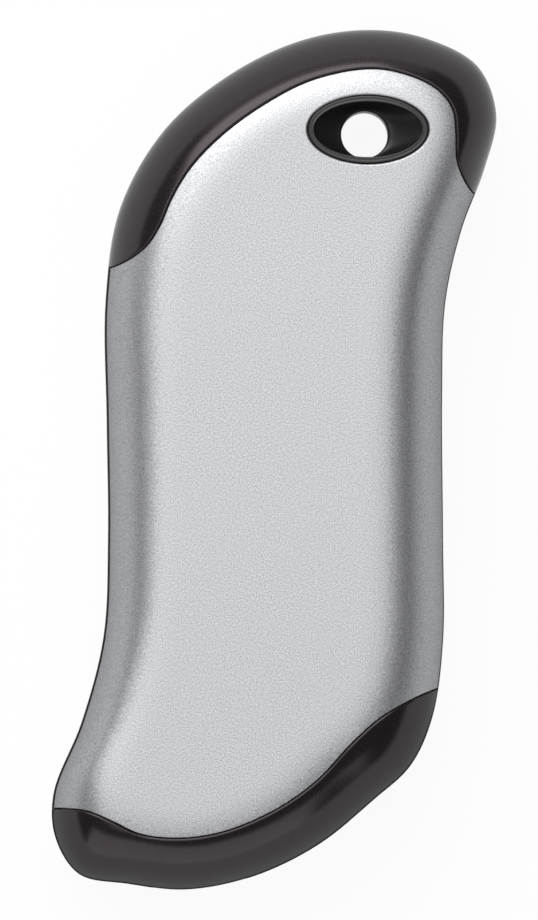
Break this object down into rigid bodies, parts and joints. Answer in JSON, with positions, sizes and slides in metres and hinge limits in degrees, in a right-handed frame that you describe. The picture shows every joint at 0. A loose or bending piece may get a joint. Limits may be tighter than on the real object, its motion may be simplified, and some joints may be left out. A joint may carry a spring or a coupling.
{
  "type": "rechargeable hand warmer",
  "caption": "S-curved palm-sized rechargeable hand warmer: silver metal faces in a black bumper frame, with a lanyard eyelet, power button, charge lights and sockets.",
  "frame": {"origin": "centre of the outline at the rear metal face, where the object lies when it is on its back", "axes": "+X to the right of the front face, +Y to the lanyard end, +Z out of the front face"},
  "size_m": [0.064, 0.1235, 0.0275],
  "materials": {
    "anodised_aluminium": "fine silver anodised with a speckled grain",
    "black_gloss_plastic": "black, glossy",
    "black_soft_plastic": "black, satin",
    "clear_polycarbonate": "clear, diffused",
    "heater_film": "amber polyimide film",
    "foam": "soft closed-cell foam",
    "cell_wrap": "shrink-wrapped can",
    "white_plastic": "moulded",
    "nickel": "plated",
    "board_green": "solder mask",
    "chip_black": "moulded epoxy",
    "ferrite": "sintered",
    "red_insulation": "moulded",
    "black_insulation": "sleeving",
    "white_insulation": "sleeving",
    "zinc_steel": "zinc plated"
  },
  "bodies": {
    "body": {"front_shell": "anodised_aluminium", "rear_shell": "anodised_aluminium", "front_frame": "black_gloss_plastic", "rear_frame": "black_gloss_plastic", "front_eyelet": "black_gloss_plastic", "rear_eyelet": "black_gloss_plastic", "indicator_lens": "clear_polycarbonate", "front_heater": "heater_film", "rear_heater": "heater_film", "front_pad": "foam", "rear_pad": "foam", "cell_left": "cell_wrap", "cell_right": "cell_wrap", "battery_cradle": "white_plastic", "usb_a_tongue": "white_plastic", "status_led_1": "white_plastic", "status_led_2": "white_plastic", "status_led_3": "white_plastic", "status_led_4": "white_plastic", "positive_tab": "nickel", "negative_tab": "nickel", "usb_a_shell": "nickel", "micro_usb_shell": "nickel", "output_capacitor": "nickel", "circuit_board": "board_green", "charger_chip": "chip_black", "controller_chip": "chip_black", "tact_switch": "chip_black", "micro_usb_tongue": "chip_black", "thermistor": "chip_black", "boost_inductor": "ferrite", "positive_lead": "red_insulation", "negative_lead": "black_insulation", "thermistor_lead": "black_insulation", "front_heater_lead_1": "white_insulation", "front_heater_lead_2": "white_insulation", "rear_heater_lead_1": "white_insulation", "rear_heater_lead_2": "white_insulation", "case_screw_1": "zinc_steel", "case_screw_2": "zinc_steel", "case_screw_3": "zinc_steel", "case_screw_4": "zinc_steel"},
    "button": {"power_button": "black_soft_plastic", "switch_stem": "red_insulation"}
  },
  "joints": [
    {"name": "power_button_press", "type": "slide", "parent": "body", "child": "button", "axis": [-0.6625, 0.749, 0], "range_m": [0, 0.0005], "stiffness_N_per_m": 2500}
  ]
}
